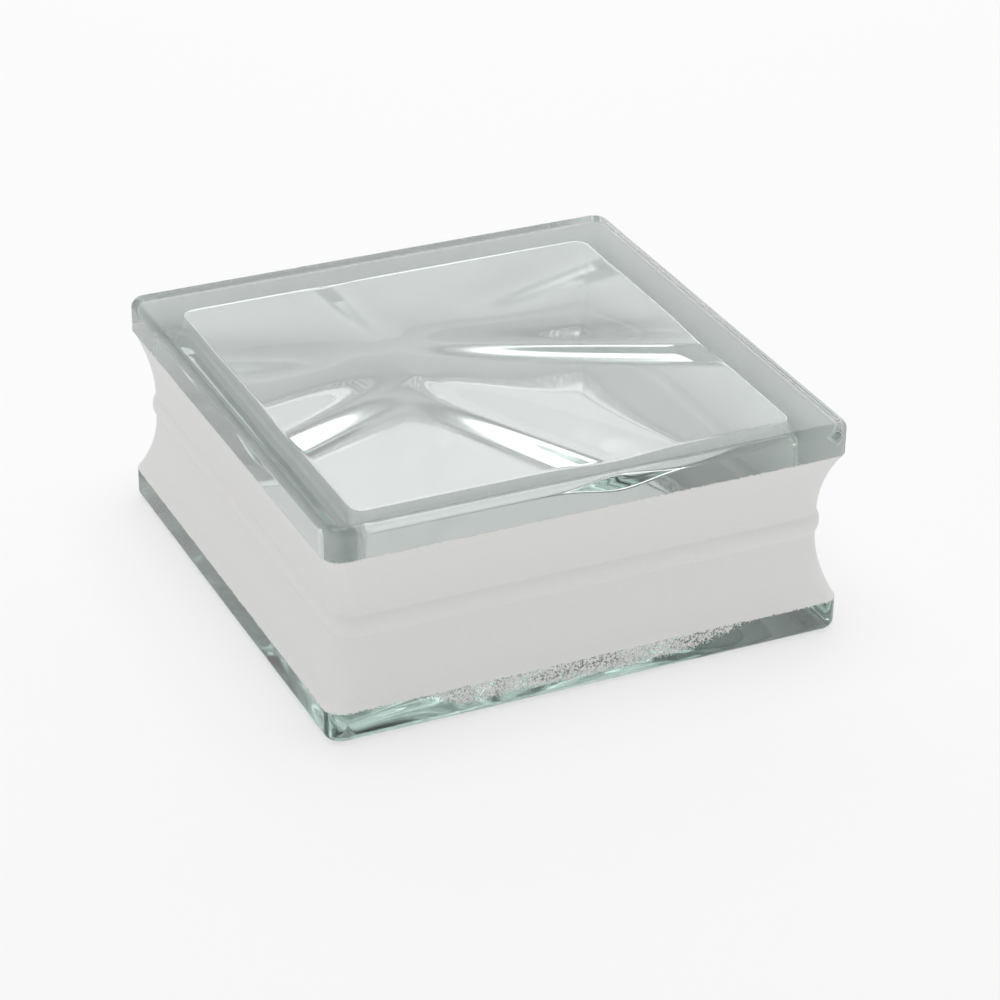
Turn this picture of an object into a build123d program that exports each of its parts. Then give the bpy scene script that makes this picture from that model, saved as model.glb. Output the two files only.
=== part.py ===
from build123d import *
import math
import os

# A hollow glass block for building walls and windows, lying on its lower face.
# Two pressed glass halves are fused at mid-height into one sealed body. Its outer faces
# are smooth, its inner faces carry a relief of soft folds, and its four sides are hollowed
# for the mortar between a thick rim above and one below. A thin matt coat covers the
# hollow sides and leaves the rims clear.
# Millimetres. The origin is in the middle of the lower face, +Z points through the block.

# Outer size
SIDE = 190.0
THICKNESS = 80.0
CORNER_RADIUS = 6.2
FACE_EDGE_RADIUS = 4.5

# Rims and the hollow of the sides
RIM_HEIGHT = 12.5
RIM_INNER_CHAMFER = 0.8
RIM_FLAT = 0.2
HOLLOW_DEPTH = 6.0
HOLLOW_CORNER_RADIUS = 7.5
BEAD_HEIGHT = 7.5
BEAD_RISE = 1.2
BEAD_TO_FLARE = 0.5

# Air space: glass between it and the faces, and at mid-height between it and the hollow
FACE_GLASS = 8.0
WALL_GLASS = 6.5
CAVITY_CORNER_RADIUS = 10.0
CAVITY_DRAFT = 4.5

# Coat on the hollow sides
COAT = 0.4

# Relief of the inner faces. Each fold is a ridge of thicker glass that starts from nothing
# at its tip, grows and widens outwards and runs on past the wall of the air space.
# tip, end, half-width at the tip, half-width at the end, rise into the air space at the end
FOLDS = (
    ((-24.0, 5.0), (-95.0, -25.0), 12.0, 13.0, 3.0),
    ((-29.0, -2.0), (21.0, -95.0), 11.0, 14.0, 3.5),
    ((-18.0, 27.0), (95.0, -19.0), 9.0, 13.0, 2.5),
    ((-20.0, 30.0), (-20.0, 95.0), 6.0, 9.0, 1.1),
    ((8.0, 42.0), (95.0, 72.0), 10.0, 16.0, 1.4),
    ((-38.0, 24.0), (-95.0, 46.0), 9.0, 14.0, 1.1),
)

# Grid that carries the relief, and how closely its smooth surface keeps to it
RELIEF_STEP = 7.5
RELIEF_FIT = 0.1

HALF_SIDE = SIDE / 2
MID_HEIGHT = THICKNESS / 2
CUTTER_REACH = SIDE / 20
RIM_LEDGE = RIM_INNER_CHAMFER + RIM_FLAT
CAVITY_SIDE = SIDE - 2 * (HOLLOW_DEPTH + WALL_GLASS)


def fold_height(x, y, fold):
    """Thickness that one fold adds to the glass at a point of the inner face."""
    (tip_x, tip_y), (end_x, end_y), tip_width, end_width, rise = fold
    along_x = end_x - tip_x
    along_y = end_y - tip_y
    share = ((x - tip_x) * along_x + (y - tip_y) * along_y) / (along_x**2 + along_y**2)
    share = min(max(share, 0.0), 1.0)
    distance = math.hypot(x - tip_x - share * along_x, y - tip_y - share * along_y)
    width = tip_width + share * (end_width - tip_width)
    return rise * share * (2 - share) * math.exp(-((distance / width) ** 2))


def relief(x, y):
    """Height of the inner face over its level between the folds."""
    return -sum(fold_height(x, y, fold) for fold in FOLDS)


def side_section(inset):
    """Section of the space beside the block between its rims, in X and Z.

    With inset 0 it follows the glass, and otherwise it stays that far off the glass.
    """
    half_gap = MID_HEIGHT - RIM_HEIGHT
    wall_x = HALF_SIDE - HOLLOW_DEPTH
    bead_end = BEAD_HEIGHT / 2
    flare_start = bead_end + BEAD_TO_FLARE
    flare_height = half_gap - flare_start
    flare_lean = HOLLOW_DEPTH - RIM_LEDGE
    flare_radius = (flare_lean**2 + flare_height**2) / (2 * flare_lean)
    turn = math.degrees(math.asin((flare_height - inset) / (flare_radius - inset)))
    flare_centre = (wall_x + flare_radius, flare_start)
    flare = CenterArc(flare_centre, flare_radius - inset, 180, -turn)
    face_x = wall_x + inset
    ledge_z = half_gap - inset
    out_x = HALF_SIDE + CUTTER_REACH
    top = [
        Line((face_x, bead_end), flare @ 0),
        flare,
        Line(flare @ 1, (out_x, ledge_z)),
        Line((out_x, ledge_z), (out_x, 0)),
    ]
    bead = ThreePointArc((face_x, -bead_end), (face_x + BEAD_RISE, 0), (face_x, bead_end))
    bottom = [mirror(line, Plane.XZ) for line in top]
    return Plane.XZ * make_face([bead, *top, *bottom])


def side_ring(inset):
    """The side section run round the block, with a turned piece at each corner."""
    straight = HALF_SIDE - HOLLOW_DEPTH - HOLLOW_CORNER_RADIUS
    section = side_section(inset)
    run = extrude(Pos(0, straight, 0) * section, 2 * straight, dir=(0, -1, 0))
    turn_axis = Axis((straight, straight, 0), (0, 0, 1))
    turn = revolve(Pos(0, straight, 0) * section, turn_axis, 90)
    ring = Part()
    for quarter in range(4):
        ring += Rot(0, 0, 90 * quarter) * (run + turn)
    return Pos(0, 0, MID_HEIGHT) * ring


def cavity_half():
    """Air space of one half, with its open side at Z 0 and the relief on its top."""
    depth = MID_HEIGHT - FACE_GLASS
    reach = CAVITY_SIDE / 2 + RELIEF_STEP
    count = 2 * math.ceil(reach / RELIEF_STEP) + 1
    line = [(i - count // 2) * RELIEF_STEP for i in range(count)]
    points = [[Vector(x, y, depth + relief(x, y)) for y in line] for x in line]
    inner_face = Face.make_surface_from_array_of_points(points, tol=RELIEF_FIT, min_deg=3)
    glass_above = extrude(inner_face, FACE_GLASS, dir=(0, 0, 1))
    blank = extrude(
        RectangleRounded(CAVITY_SIDE, CAVITY_SIDE, CAVITY_CORNER_RADIUS),
        depth + FACE_GLASS / 2,
        taper=CAVITY_DRAFT,
    )
    return blank - glass_above


def make_glass_block(ring):
    """The fused hollow glass body."""
    body = extrude(RectangleRounded(SIDE, SIDE, CORNER_RADIUS), THICKNESS)
    face_edges = body.faces().sort_by(Axis.Z)[0].edges() + body.faces().sort_by(Axis.Z)[-1].edges()
    body = fillet(face_edges, FACE_EDGE_RADIUS)
    body = body - ring
    rim_edges = [
        edge
        for height in (RIM_HEIGHT, THICKNESS - RIM_HEIGHT)
        for edge in body.edges().filter_by_position(Axis.Z, height - 0.01, height + 0.01)
        if lies_on_outline(edge)
    ]
    body = chamfer(rim_edges, RIM_INNER_CHAMFER)
    half = cavity_half()
    upper = Pos(0, 0, MID_HEIGHT) * half
    lower = Pos(0, 0, MID_HEIGHT) * Rot(180, 0, 0) * half
    return body - upper - lower


def lies_on_outline(edge):
    """True if an edge's middle is on the block's outer outline."""
    middle = edge @ 0.5
    corner = HALF_SIDE - CORNER_RADIUS
    beyond_x = max(abs(middle.X) - corner, 0)
    beyond_y = max(abs(middle.Y) - corner, 0)
    return abs(math.hypot(beyond_x, beyond_y) - CORNER_RADIUS) < 0.01


def make_edge_coating(ring):
    """The matt coat on the hollow sides, up to the bevel of each rim."""
    coated = extrude(
        RectangleRounded(SIDE - 2 * RIM_LEDGE, SIDE - 2 * RIM_LEDGE, CORNER_RADIUS - RIM_LEDGE),
        THICKNESS,
    )
    return (ring & coated) - side_ring(COAT)


def main():
    os.makedirs("parts", exist_ok=True)
    ring = side_ring(0)
    export_step(make_glass_block(ring), "parts/glass_block.step")
    export_step(make_edge_coating(ring), "parts/edge_coating.step")


main()
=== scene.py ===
import math

import bpy
from mathutils import Matrix, Vector


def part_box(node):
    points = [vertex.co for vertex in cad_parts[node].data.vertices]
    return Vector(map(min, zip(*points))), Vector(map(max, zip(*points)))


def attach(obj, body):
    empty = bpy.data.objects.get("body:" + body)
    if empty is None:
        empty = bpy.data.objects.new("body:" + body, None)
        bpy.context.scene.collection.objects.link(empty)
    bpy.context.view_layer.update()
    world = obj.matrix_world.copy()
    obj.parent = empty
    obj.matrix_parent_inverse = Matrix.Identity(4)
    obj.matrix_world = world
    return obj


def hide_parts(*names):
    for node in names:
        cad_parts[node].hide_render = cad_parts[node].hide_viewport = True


# A hollow glass block dressed for a studio picture: a clear glass body with soft folds on
# both inner faces, and a matt coat on its hollow sides.
# Metres. The origin is in the middle of the lower face, +Z points through the block.

MM = 0.001

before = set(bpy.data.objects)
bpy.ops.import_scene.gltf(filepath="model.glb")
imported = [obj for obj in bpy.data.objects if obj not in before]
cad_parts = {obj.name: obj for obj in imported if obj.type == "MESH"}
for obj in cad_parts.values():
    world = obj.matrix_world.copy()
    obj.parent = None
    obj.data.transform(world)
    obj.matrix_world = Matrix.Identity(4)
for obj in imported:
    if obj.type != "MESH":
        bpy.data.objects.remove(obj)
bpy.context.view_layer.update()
glass_low, glass_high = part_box("glass_block")

# Outer size and rims
HALF_SIDE = (glass_high.x - glass_low.x) / 2
THICKNESS = glass_high.z - glass_low.z
MID_HEIGHT = THICKNESS / 2
CORNER_RADIUS = 6.2 * MM
FACE_EDGE_RADIUS = 3.2 * MM
RIM_HEIGHT = 12.5 * MM
RIM_INNER_RADIUS = 0.8 * MM
RIM_LEDGE = 1.0 * MM

# Hollow sides
HOLLOW_DEPTH = 6.0 * MM
HOLLOW_CORNER_RADIUS = 7.5 * MM
BEAD_HEIGHT = 7.5 * MM
BEAD_RISE = 1.2 * MM
BEAD_TO_FLARE = 0.5 * MM
FLARE_HEIGHT = MID_HEIGHT - RIM_HEIGHT - BEAD_HEIGHT / 2 - BEAD_TO_FLARE

# Air space
FACE_GLASS = 8 * MM
CAVITY_HALF = 82.5 * MM
CAVITY_FACE_HALF = 80 * MM
CAVITY_CORNER_RADIUS = 5.5 * MM
CAVITY_EDGE_RADIUS = 0.8 * MM

# Relief of the inner faces, in millimetres: tip, end, half-width at the tip, half-width at
# the end, rise into the air space at the end
FOLDS = (
    ((-24.0, 5.0), (-95.0, -25.0), 12.0, 13.0, 3.0),
    ((-29.0, -2.0), (21.0, -95.0), 11.0, 14.0, 3.5),
    ((-18.0, 27.0), (95.0, -19.0), 9.0, 13.0, 2.5),
    ((-20.0, 30.0), (-20.0, 95.0), 6.0, 9.0, 1.1),
    ((8.0, 42.0), (95.0, 72.0), 10.0, 16.0, 1.4),
    ((-38.0, 24.0), (-95.0, 46.0), 9.0, 14.0, 1.1),
)

# The coat: its thickness on the hollow sides, how far it keys into the glass, and the film
# of it that reaches over the rims down to a lowest line. The rims stand back a little to
# leave room for the film.
COAT = 0.4 * MM
BOND = 0.08 * MM
RIM_FILM = 0.03 * MM
RIM_SETBACK = 0.04 * MM
FILM_LOW = 5.0 * MM

# How far the glass turns round the inner edge of a rim, and where the coat leaves it
LEDGE_TURN = math.radians(75)
SHOULDER_TURN = math.radians(60)
SHOULDER_TOP = 13.4 * MM

# How finely curves are divided, and how the shading runs over them
CORNER_STEPS = 10
EDGE_STEPS = 8
CAVITY_EDGE_STEPS = 4
RIM_STEPS = 4
FLARE_STEPS = 12
BEAD_STEPS = 5
RELIEF_CELLS = 155
MERGE_DISTANCE = 0.001 * MM
SMOOTH_ANGLE = math.radians(40)
FACE_WEIGHT = 80

# Glass: a faint tint at its surface, a green one through its depth, and pressed inner faces
# that are a little soft
GLASS_SURFACE = (0.985, 0.995, 0.99, 1)
GLASS_IOR = 1.52
GLASS_DEPTH_TINT = (0.34, 0.60, 0.52, 1)
GLASS_DEPTH_DENSITY = 5.0
INNER_ROUGHNESS = 0.06
INNER_MARGIN = 3 * MM

# Coat: its darkest and lightest tones from outside, and the same tones painted lighter for the
# skin seen through the glass, which is painted light. Both are painted darker towards the bottom
# of the block as painted shade: the share of the tone that is left at the lower edge, and the
# heights over which it comes back to full.
AIR_TONES = ((0.87, 0.865, 0.845, 1), (0.91, 0.905, 0.885, 1))
AIR_PAINTED_SHADE_SHARE = 0.96
KEYED_PAINTED_LIGHT_TONES = ((0.95, 0.955, 0.945, 1), (0.97, 0.975, 0.965, 1))
KEYED_PAINTED_SHADE_SHARE = 0.72
LOW_PAINTED_SHADE = (9 * MM, 24 * MM)
COAT_ROUGHNESS = 0.85
TONE_SCALE = 900

# Cover of the coat on the rims: solid down to the inner edge, and below it a dusting whose
# lower line wanders. Each pair is where a change starts and ends.
SOLID_COVER = 1.3
SOLID_FADE = (0.2 * MM, 1.4 * MM)
DUST_COVER = 0.72
DUST_FADE = (-2.5 * MM, 1.0 * MM)
DUST_REACH = 8.5 * MM
DUST_WANDER = 0.8 * MM
WANDER_SCALE = 30
WANDER_RANGE = (0.35, 0.65)
GRAIN_SCALE = 1700
GRAIN_DETAIL = 3.0
GRAIN_RANGE = (0.32, 0.68)
GRAIN_EDGE = 6.0

# Where the lower rim is dusted: the middle of the front, and the two far sides
FRONT_FACE = -90 * MM
FRONT_DUST_START = (-70 * MM, -42 * MM)
FRONT_DUST_END = (12 * MM, 82 * MM)
FAR_DUST_START = (5 * MM, 30 * MM)

# Camera, fitted to the outline of the block in the photograph
VIEW_AZIMUTH = math.radians(-25.36)
VIEW_ELEVATION = math.radians(28.85)
VIEW_ROLL = math.radians(0.98)
VIEW_DISTANCE = 1182 * MM
VIEW_RIGHT = 8.31 * MM
VIEW_UP = -14.52 * MM
FOCAL_WIDTHS = 3.360
SENSOR = 36.0
CLIP = (0.01, 50)

# Studio. The floor stays a hair under the glass, so that the lower face keeps its reflection.
# Seen through the glass it is darker, partly in the block's real shadow and partly from a
# darker tone for rays through the glass, which is painted shadow.
FLOOR_SIZE = 6
FLOOR_GAP = 0.3 * MM
FLOOR_TONE = (0.9, 0.9, 0.9, 1)
# Painted shadow: the floor's tone for rays that come through the glass
FLOOR_PAINTED_SHADOW_THROUGH_GLASS = (0.36, 0.38, 0.37, 1)
FLOOR_ROUGHNESS = 0.9
FLOOR_WHITE_SHARE = 0.6
STUDIO_LEVEL = 0.60
WHITE_LEVEL = 1.0

# Soft lamps: place, width and height, watts
LAMPS = {
    "overhead": ((0.0, 0.1, 1.5), (1.4, 1.0), 8),
    "back_softbox": ((0.60, 1.27, 0.80), (1.8, 1.2), 5.5),
}


def fold_height(x, y, fold):
    """Thickness that one fold adds to the glass at a point of the inner face, in millimetres."""
    (tip_x, tip_y), (end_x, end_y), tip_width, end_width, rise = fold
    along_x = end_x - tip_x
    along_y = end_y - tip_y
    share = ((x - tip_x) * along_x + (y - tip_y) * along_y) / (along_x**2 + along_y**2)
    share = min(max(share, 0.0), 1.0)
    distance = math.hypot(x - tip_x - share * along_x, y - tip_y - share * along_y)
    width = tip_width + share * (end_width - tip_width)
    return rise * share * (2 - share) * math.exp(-((distance / width) ** 2))


def relief(x, y):
    """Height of the inner face over its level between the folds, for a point in metres."""
    return -MM * sum(fold_height(x / MM, y / MM, fold) for fold in FOLDS)


def pick_only(piece):
    """Object mode, with one piece selected and active."""
    if bpy.context.mode != "OBJECT":
        bpy.ops.object.mode_set(mode="OBJECT")
    bpy.ops.object.select_all(action="DESELECT")
    if piece:
        piece.select_set(True)
        bpy.context.view_layer.objects.active = piece


def edit(piece, kind):
    """Edit mode on one piece, with nothing in it selected."""
    pick_only(piece)
    bpy.ops.object.mode_set(mode="EDIT")
    bpy.ops.mesh.select_mode(type=kind)
    bpy.ops.mesh.select_all(action="DESELECT")


def pick_range(piece, first, last, extend=False):
    """Selects a run of vertices, in the order in which they were added."""
    if not extend:
        bpy.ops.mesh.select_all(action="DESELECT")
    bpy.ops.object.mode_set(mode="OBJECT")
    for vertex in piece.data.vertices[first:last]:
        vertex.select = True
    bpy.ops.object.mode_set(mode="EDIT")


def turn_normals(inside):
    """Turns all faces of the mesh in edit mode outwards or inwards, and leaves edit mode."""
    bpy.ops.mesh.select_all(action="SELECT")
    bpy.ops.mesh.normals_make_consistent(inside=inside)
    bpy.ops.object.mode_set(mode="OBJECT")


def join(pieces, name):
    """Joins the pieces into one mesh, merges what touches and stays in edit mode."""
    pick_only(pieces[0])
    for piece in pieces:
        piece.select_set(True)
    bpy.ops.object.join()
    pieces[0].name = pieces[0].data.name = name
    edit(pieces[0], "VERT")
    bpy.ops.mesh.select_all(action="SELECT")
    bpy.ops.mesh.remove_doubles(threshold=MERGE_DISTANCE)
    return pieces[0]


def smooth(piece):
    """Smooth shading that keeps the flat faces flat."""
    pick_only(piece)
    bpy.ops.object.shade_smooth_by_angle(angle=SMOOTH_ANGLE)
    weighted = piece.modifiers.new("Weighted_Normal", "WEIGHTED_NORMAL")
    weighted.keep_sharp = True
    weighted.weight = FACE_WEIGHT
    bpy.ops.object.modifier_apply(modifier=weighted.name)


def build_levels(name, levels, closed):
    """A skin through square levels, given as half-width, corner radius and height.

    A closed skin is a ring whose last level meets its first. Otherwise both ends are capped.
    """
    pick_only(None)
    half, radius, height = levels[0]
    bpy.ops.mesh.primitive_plane_add(size=2 * half, location=(0, 0, height))
    piece = bpy.context.object
    piece.name = piece.data.name = name
    bpy.ops.object.transform_apply(location=True, rotation=True, scale=True)
    edit(piece, "VERT")
    bpy.ops.mesh.select_all(action="SELECT")
    bpy.ops.mesh.bevel(offset=radius, segments=CORNER_STEPS, affect="VERTICES")
    if closed:
        bpy.ops.mesh.delete(type="ONLY_FACE")
    loop = 4 * (CORNER_STEPS + 1)
    for half, radius, height in levels[1:]:
        bpy.ops.mesh.primitive_plane_add(size=2 * half, location=(0, 0, height))
        bpy.ops.mesh.bevel(offset=radius, segments=CORNER_STEPS, affect="VERTICES")
        bpy.ops.mesh.delete(type="ONLY_FACE")
        pick_range(piece, -2 * loop, None)
        bpy.ops.mesh.bridge_edge_loops()
    pick_range(piece, -loop, None)
    if closed:
        pick_range(piece, 0, loop, extend=True)
        bpy.ops.mesh.bridge_edge_loops()
    else:
        bpy.ops.mesh.edge_face_add()
    turn_normals(inside=False)
    return piece


def face_edge_levels():
    """Levels of the rounding between the lower face and the side of the lower rim."""
    levels = []
    for step in range(EDGE_STEPS):
        turn = math.pi / 2 * step / EDGE_STEPS
        inward = RIM_SETBACK + FACE_EDGE_RADIUS * (1 - math.sin(turn))
        height = FACE_EDGE_RADIUS * (1 - math.cos(turn))
        levels.append((HALF_SIDE - inward, CORNER_RADIUS - inward, height))
    return levels


def rim_levels(off, low, last_turn):
    """Levels of the lower rim's side and inner rounding, off the glass by a distance."""
    levels = [(HALF_SIDE - RIM_SETBACK + off, CORNER_RADIUS - RIM_SETBACK + off, low)]
    reach = RIM_INNER_RADIUS + off
    for step in range(RIM_STEPS + 1):
        turn = last_turn * step / RIM_STEPS
        inward = RIM_SETBACK + RIM_INNER_RADIUS - reach * math.cos(turn)
        height = RIM_HEIGHT - RIM_INNER_RADIUS + reach * math.sin(turn)
        levels.append((HALF_SIDE - inward, CORNER_RADIUS - inward, height))
    return levels


def hollow_levels(off, low):
    """Levels of the hollow's lower half, from a height on its flare to the middle of the bead.

    They stay off the glass by the given distance. The corner of the flare tightens towards
    the corner of the rim.
    """
    wall = HALF_SIDE - HOLLOW_DEPTH
    lean = HOLLOW_DEPTH - RIM_LEDGE
    flare_top = RIM_HEIGHT + FLARE_HEIGHT
    flare_radius = (lean**2 + FLARE_HEIGHT**2) / (2 * lean)
    flare_end = math.asin((flare_top - low) / (flare_radius - off))
    tighten = (HOLLOW_CORNER_RADIUS - CORNER_RADIUS + RIM_LEDGE) / lean
    bead_radius = ((BEAD_HEIGHT / 2) ** 2 + BEAD_RISE**2) / (2 * BEAD_RISE)
    bead_end = math.asin(BEAD_HEIGHT / 2 / bead_radius)
    levels = []
    for step in range(FLARE_STEPS + 1):
        turn = flare_end * (1 - step / FLARE_STEPS)
        outward = flare_radius * (1 - math.cos(turn))
        half = wall + outward + off * math.cos(turn)
        radius = HOLLOW_CORNER_RADIUS - tighten * outward + off
        levels.append((half, radius, flare_top - (flare_radius - off) * math.sin(turn)))
    for step in range(BEAD_STEPS + 1):
        turn = bead_end * (1 - step / BEAD_STEPS)
        outward = off + BEAD_RISE - bead_radius * (1 - math.cos(turn))
        height = MID_HEIGHT - bead_radius * math.sin(turn)
        levels.append((wall + outward, HOLLOW_CORNER_RADIUS + outward, height))
    return levels


def with_upper_half(levels):
    """The levels of the lower half, and their mirror image above mid-height."""
    above = [(half, radius, THICKNESS - height) for half, radius, height in reversed(levels[:-1])]
    return levels + above


def build_outer_skin():
    """The outer skin, with both faces, both rims and the hollow sides."""
    rim = face_edge_levels() + rim_levels(0, FACE_EDGE_RADIUS, LEDGE_TURN)
    return build_levels("outer", with_upper_half(rim + hollow_levels(0, RIM_HEIGHT)), closed=False)


def press_relief(piece, corner_start, radius):
    """Rounds the corners of a square grid and lifts it to the relief of an inner face."""
    for vertex in piece.data.vertices:
        point = vertex.co
        u = (abs(point.x) - corner_start) / radius
        v = (abs(point.y) - corner_start) / radius
        if u > 0 and v > 0:
            round_x = corner_start + radius * u * math.sqrt(1 - v * v / 2)
            round_y = corner_start + radius * v * math.sqrt(1 - u * u / 2)
            point.x = math.copysign(round_x, point.x)
            point.y = math.copysign(round_y, point.y)
        point.z += relief(point.x, point.y)


def draw_wall(flat_half):
    """Draws the rim of the inner face round its edge and down the wall to mid-height."""
    bpy.ops.mesh.select_all(action="SELECT")
    bpy.ops.mesh.region_to_loop()
    past_half, past_drop = flat_half, 0.0
    for step in range(1, CAVITY_EDGE_STEPS + 1):
        turn = math.pi / 2 * step / CAVITY_EDGE_STEPS
        half = flat_half + CAVITY_EDGE_RADIUS * math.sin(turn)
        drop = CAVITY_EDGE_RADIUS * (1 - math.cos(turn))
        step_down = {"value": (0, 0, past_drop - drop)}
        bpy.ops.mesh.extrude_edges_move(TRANSFORM_OT_translate=step_down)
        grow = half / past_half
        bpy.ops.transform.resize(value=(grow, grow, 1), center_override=(0, 0, 0))
        past_half, past_drop = half, drop
    bpy.ops.mesh.extrude_edges_move(TRANSFORM_OT_translate={"value": (0, 0, 0)})
    grow = CAVITY_HALF / CAVITY_FACE_HALF
    bpy.ops.transform.resize(value=(grow, grow, 0), center_override=(0, 0, MID_HEIGHT))
    bpy.ops.object.mode_set(mode="OBJECT")


def turned_over(piece):
    """A copy of the piece, turned over about mid-height."""
    copy = piece.copy()
    copy.data = piece.data.copy()
    bpy.context.scene.collection.objects.link(copy)
    edit(copy, "VERT")
    bpy.ops.mesh.select_all(action="SELECT")
    middle = (0, 0, MID_HEIGHT)
    bpy.ops.transform.rotate(value=math.pi, orient_axis="X", center_override=middle)
    bpy.ops.object.mode_set(mode="OBJECT")
    return copy


def build_cavity():
    """The skin of the air space, with the relief on its floor and ceiling."""
    pick_only(None)
    flat_half = CAVITY_FACE_HALF - CAVITY_EDGE_RADIUS
    flat_radius = CAVITY_CORNER_RADIUS - CAVITY_EDGE_RADIUS
    bpy.ops.mesh.primitive_grid_add(
        x_subdivisions=RELIEF_CELLS,
        y_subdivisions=RELIEF_CELLS,
        size=2 * flat_half,
        location=(0, 0, THICKNESS - FACE_GLASS),
    )
    upper = bpy.context.object
    bpy.ops.object.transform_apply(location=True, rotation=True, scale=True)
    press_relief(upper, flat_half - flat_radius, flat_radius)
    edit(upper, "EDGE")
    draw_wall(flat_half)
    cavity = join([upper, turned_over(upper)], "cavity")
    turn_normals(inside=True)
    return cavity


def build_glass():
    """The glass body: its outer skin, with the skin of the air space inside it."""
    glass = join([build_outer_skin(), build_cavity()], "glass_body")
    smooth(glass)
    glass.data.materials.append(glass_material())
    return glass


def build_coat():
    """The coat: thick on the hollow sides, drawn out to a film over the rims.

    It is one ring. The skin in the air runs from the lower rim to the upper one, and the
    skin that is keyed into the glass runs back.
    """
    air = rim_levels(RIM_FILM, FILM_LOW, SHOULDER_TURN) + hollow_levels(COAT, SHOULDER_TOP)
    keyed = rim_levels(-BOND, FILM_LOW, LEDGE_TURN) + hollow_levels(-BOND, RIM_HEIGHT - BOND)
    air = with_upper_half(air)
    keyed = with_upper_half(keyed)
    coat = build_levels("edge_coat", air + keyed[::-1], closed=True)
    smooth(coat)
    coat.data.materials.append(coat_material("matt_edge_coat", AIR_TONES, AIR_PAINTED_SHADE_SHARE))
    # The skin keyed into the glass gets a lighter copy of the coat's tones: painted light.
    coat.data.materials.append(
        coat_material("edge_coat_through_glass_painted_light", KEYED_PAINTED_LIGHT_TONES, KEYED_PAINTED_SHADE_SHARE)
    )
    edit(coat, "VERT")
    pick_range(coat, len(air) * 4 * (CORNER_STEPS + 1), None)
    coat.active_material_index = 1
    bpy.ops.object.material_slot_assign()
    bpy.ops.object.mode_set(mode="OBJECT")
    return coat


class NodeMaker:
    """Short ways to add the nodes of one material or world."""

    def __init__(self, tree):
        self.nodes = tree.nodes
        self.links = tree.links

    def add(self, kind, **settings):
        """Adds a node and sets its own options."""
        node = self.nodes.new(kind)
        for name, value in settings.items():
            setattr(node, name, value)
        return node

    def feed(self, socket, value):
        """Links a socket to a node's output, or sets it to a plain value."""
        if isinstance(value, bpy.types.NodeSocket):
            self.links.new(value, socket)
        else:
            socket.default_value = value

    def math(self, operation, *values, clamp=False):
        """The result of one sum on sockets or plain values."""
        node = self.add("ShaderNodeMath", operation=operation, use_clamp=clamp)
        for socket, value in zip(node.inputs, values):
            self.feed(socket, value)
        return node.outputs[0]

    def ramp(self, value, span, low=0.0, high=1.0):
        """A smooth change from low to high while the value goes over a span."""
        node = self.add("ShaderNodeMapRange", interpolation_type="SMOOTHSTEP")
        names = ("Value", "From Min", "From Max", "To Min", "To Max")
        for name, setting in zip(names, (value, *span, low, high)):
            self.feed(node.inputs[name], setting)
        return node.outputs[0]

    def mix(self, kind, share, first, second):
        """A blend of two numbers or colours."""
        node = self.add("ShaderNodeMix", data_type=kind)
        self.feed(node.inputs["Factor"], share)
        self.feed(node.inputs["A"], first)
        self.feed(node.inputs["B"], second)
        return node.outputs["Result"]

    def mix_shaders(self, share, first, second):
        """A blend of two shaders."""
        node = self.add("ShaderNodeMixShader")
        for socket, value in zip(node.inputs, (share, first, second)):
            self.feed(socket, value)
        return node.outputs[0]

    def place(self):
        return self.add("ShaderNodeTexCoord").outputs["Object"]

    def split(self, vector):
        node = self.add("ShaderNodeSeparateXYZ")
        self.feed(node.inputs[0], vector)
        return node.outputs

    def noise(self, place, scale, detail=2.0):
        node = self.add("ShaderNodeTexNoise")
        self.feed(node.inputs["Vector"], place)
        self.feed(node.inputs["Scale"], scale)
        self.feed(node.inputs["Detail"], detail)
        return node.outputs["Fac"]

    def seen_directly(self):
        """1 for a ray from the camera or a reflection, and 0 for other rays."""
        path = self.add("ShaderNodeLightPath")
        return self.math("MAXIMUM", path.outputs["Is Camera Ray"], path.outputs["Is Glossy Ray"])

    def seen_through_glass(self):
        """1 for a ray that has passed through glass, and 0 for other rays."""
        return self.add("ShaderNodeLightPath").outputs["Is Transmission Ray"]


def new_material(name):
    """A new material, the maker of its nodes, its shader and its output."""
    material = bpy.data.materials.new(name)
    material.use_nodes = True
    nodes = material.node_tree.nodes
    return material, NodeMaker(material.node_tree), nodes["Principled BSDF"], nodes["Material Output"]


def glass_material():
    """Clear glass, polished outside and a little soft on the pressed inner faces."""
    material, maker, shader, output = new_material("pressed_clear_glass")
    shader.inputs["Base Color"].default_value = GLASS_SURFACE
    shader.inputs["IOR"].default_value = GLASS_IOR
    shader.inputs["Transmission Weight"].default_value = 1.0
    x, y, z = maker.split(maker.place())
    sideways = maker.math("MAXIMUM", maker.math("ABSOLUTE", x), maker.math("ABSOLUTE", y))
    off_middle = maker.math("ABSOLUTE", maker.math("SUBTRACT", z, MID_HEIGHT))
    within_walls = maker.math("LESS_THAN", sideways, CAVITY_HALF + INNER_MARGIN)
    within_faces = maker.math("LESS_THAN", off_middle, MID_HEIGHT - FACE_GLASS / 4)
    inner = maker.math("MULTIPLY", within_walls, within_faces)
    maker.feed(shader.inputs["Roughness"], maker.math("MULTIPLY", inner, INNER_ROUGHNESS))
    absorb = maker.add("ShaderNodeVolumeAbsorption")
    absorb.inputs["Color"].default_value = GLASS_DEPTH_TINT
    absorb.inputs["Density"].default_value = GLASS_DEPTH_DENSITY
    maker.feed(output.inputs["Volume"], absorb.outputs[0])
    return material


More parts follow.
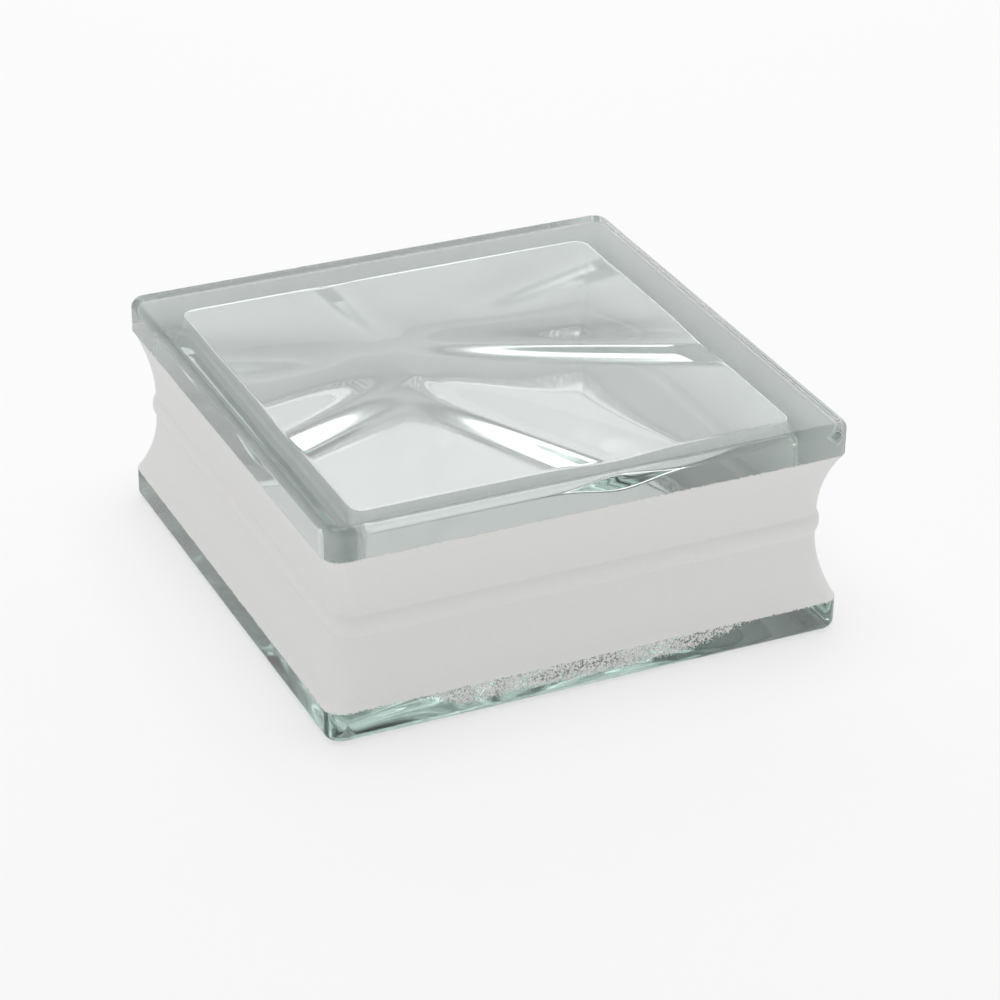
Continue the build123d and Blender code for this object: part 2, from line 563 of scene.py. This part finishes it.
def coat_cover(maker, place):
    """How much of the glass the coat hides: all of the hollow sides, and grains on the rims."""
    x, y, z = maker.split(place)
    off_middle = maker.math("ABSOLUTE", maker.math("SUBTRACT", z, MID_HEIGHT))
    on_rim = maker.math("SUBTRACT", off_middle, MID_HEIGHT - RIM_HEIGHT)
    start = maker.ramp(x, FRONT_DUST_START)
    end = maker.ramp(x, FRONT_DUST_END, 1.0, 0.0)
    in_front = maker.math("LESS_THAN", y, FRONT_FACE)
    front = maker.math("MULTIPLY", maker.math("MULTIPLY", start, end), in_front)
    far = maker.ramp(maker.math("ADD", x, y), FAR_DUST_START)
    lower = maker.math("LESS_THAN", z, MID_HEIGHT)
    dusted = maker.math("MULTIPLY", maker.math("MAXIMUM", front, far), lower)
    wander = maker.noise(place, WANDER_SCALE)
    wander = maker.ramp(wander, WANDER_RANGE, -DUST_WANDER, DUST_WANDER)
    edge = maker.math("ADD", maker.math("MULTIPLY", dusted, DUST_REACH), wander)
    dust = maker.ramp(maker.math("SUBTRACT", on_rim, edge), DUST_FADE, DUST_COVER, 0.0)
    solid = maker.ramp(on_rim, SOLID_FADE, SOLID_COVER, 0.0)
    cover = maker.math("MAXIMUM", dust, solid)
    grain = maker.ramp(maker.noise(place, GRAIN_SCALE, GRAIN_DETAIL), GRAIN_RANGE)
    over = maker.math("SUBTRACT", cover, grain)
    return maker.math("MULTIPLY", over, GRAIN_EDGE, clamp=True)


def coat_material(name, tones, painted_shade_share):
    """The matt coat, with a fine drift of tone, painted shade towards the bottom of the block, and
    the grains of its lower edge.
    """
    material, maker, shader, output = new_material(name)
    place = maker.place()
    tone = maker.mix("RGBA", maker.noise(place, TONE_SCALE), *tones)
    # Painted shade: the tone is darkened towards the bottom of the block.
    painted_shade = maker.add("ShaderNodeVectorMath", operation="SCALE")
    maker.feed(painted_shade.inputs[0], tone)
    maker.feed(painted_shade.inputs["Scale"], maker.ramp(maker.split(place)[2], LOW_PAINTED_SHADE, painted_shade_share, 1.0))
    maker.feed(shader.inputs["Base Color"], painted_shade.outputs[0])
    shader.inputs["Roughness"].default_value = COAT_ROUGHNESS
    clear = maker.add("ShaderNodeBsdfTransparent").outputs[0]
    surface = maker.mix_shaders(coat_cover(maker, place), clear, shader.outputs[0])
    maker.feed(output.inputs["Surface"], surface)
    return material


def floor_material():
    """A pale floor that reads as near white where it is seen and still takes the shadow. Through the
    glass it takes a darker tone, which is painted shadow.
    """
    material, maker, shader, output = new_material("pale_floor")
    # Painted shadow: seen through the glass, the floor takes a darker tone.
    tone = maker.mix("RGBA", maker.seen_through_glass(), FLOOR_TONE, FLOOR_PAINTED_SHADOW_THROUGH_GLASS)
    maker.feed(shader.inputs["Base Color"], tone)
    shader.inputs["Roughness"].default_value = FLOOR_ROUGHNESS
    white = maker.add("ShaderNodeEmission")
    white.inputs["Strength"].default_value = WHITE_LEVEL
    share = maker.math("MULTIPLY", maker.seen_directly(), FLOOR_WHITE_SHARE)
    surface = maker.mix_shaders(share, shader.outputs[0], white.outputs[0])
    maker.feed(output.inputs["Surface"], surface)
    return material


def finish_piece(piece, node):
    """Hides the CAD node that the piece replaces, and hangs the piece on the root body."""
    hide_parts(node)
    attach(piece, "root")


def add_camera():
    """The camera at the photograph's angle, distance and roll."""
    across = math.cos(VIEW_ELEVATION)
    back = Vector((
        math.sin(VIEW_AZIMUTH) * across,
        -math.cos(VIEW_AZIMUTH) * across,
        math.sin(VIEW_ELEVATION),
    ))
    level_right = (-back).cross(Vector((0, 0, 1))).normalized()
    level_up = level_right.cross(-back)
    right = level_right * math.cos(VIEW_ROLL) + level_up * math.sin(VIEW_ROLL)
    up = level_up * math.cos(VIEW_ROLL) - level_right * math.sin(VIEW_ROLL)
    target = Vector((0, 0, MID_HEIGHT)) + right * VIEW_RIGHT + up * VIEW_UP
    data = bpy.data.cameras.new("camera")
    data.sensor_width = SENSOR
    data.lens = SENSOR * FOCAL_WIDTHS
    data.clip_start, data.clip_end = CLIP
    camera = bpy.data.objects.new("camera", data)
    bpy.context.scene.collection.objects.link(camera)
    camera.matrix_world = Matrix((
        (right.x, up.x, back.x, 0),
        (right.y, up.y, back.y, 0),
        (right.z, up.z, back.z, 0),
        (0, 0, 0, 1),
    ))
    camera.location = target + back * VIEW_DISTANCE
    bpy.context.scene.camera = camera


def add_floor():
    """A plain floor under the block, which isn't part of it."""
    pick_only(None)
    bpy.ops.mesh.primitive_plane_add(size=FLOOR_SIZE, location=(0, 0, -FLOOR_GAP))
    floor = bpy.context.object
    floor.name = "floor"
    floor.data.materials.append(floor_material())


def add_lamp(name, location, size, power):
    """A soft rectangular lamp, aimed at the block."""
    data = bpy.data.lights.new(name, "AREA")
    data.shape = "RECTANGLE"
    data.size, data.size_y = size
    data.energy = power
    lamp = bpy.data.objects.new(name, data)
    bpy.context.scene.collection.objects.link(lamp)
    lamp.location = location
    aim = Vector((0, 0, MID_HEIGHT)) - Vector(location)
    lamp.rotation_euler = aim.to_track_quat("-Z", "Y").to_euler()


def add_world():
    """A white surround that is seen at full strength and lights at a lower one."""
    world = bpy.data.worlds.new("studio")
    bpy.context.scene.world = world
    world.use_nodes = True
    maker = NodeMaker(world.node_tree)
    background = world.node_tree.nodes["Background"]
    background.inputs["Color"].default_value = (1, 1, 1, 1)
    seen = maker.math("MAXIMUM", maker.seen_directly(), maker.seen_through_glass())
    level = maker.mix("FLOAT", seen, STUDIO_LEVEL, WHITE_LEVEL)
    maker.feed(background.inputs["Strength"], level)


finish_piece(build_glass(), "glass_block")
finish_piece(build_coat(), "edge_coating")

add_camera()
add_floor()
add_world()
for lamp_name, (lamp_place, lamp_size, lamp_power) in LAMPS.items():
    add_lamp(lamp_name, lamp_place, lamp_size, lamp_power)

# Light passes many skins of glass before it leaves the block
scene = bpy.context.scene
scene.view_settings.view_transform = "Standard"
scene.cycles.max_bounces = 32
scene.cycles.transmission_bounces = 24
scene.cycles.glossy_bounces = 12
scene.cycles.diffuse_bounces = 6
scene.cycles.transparent_max_bounces = 64
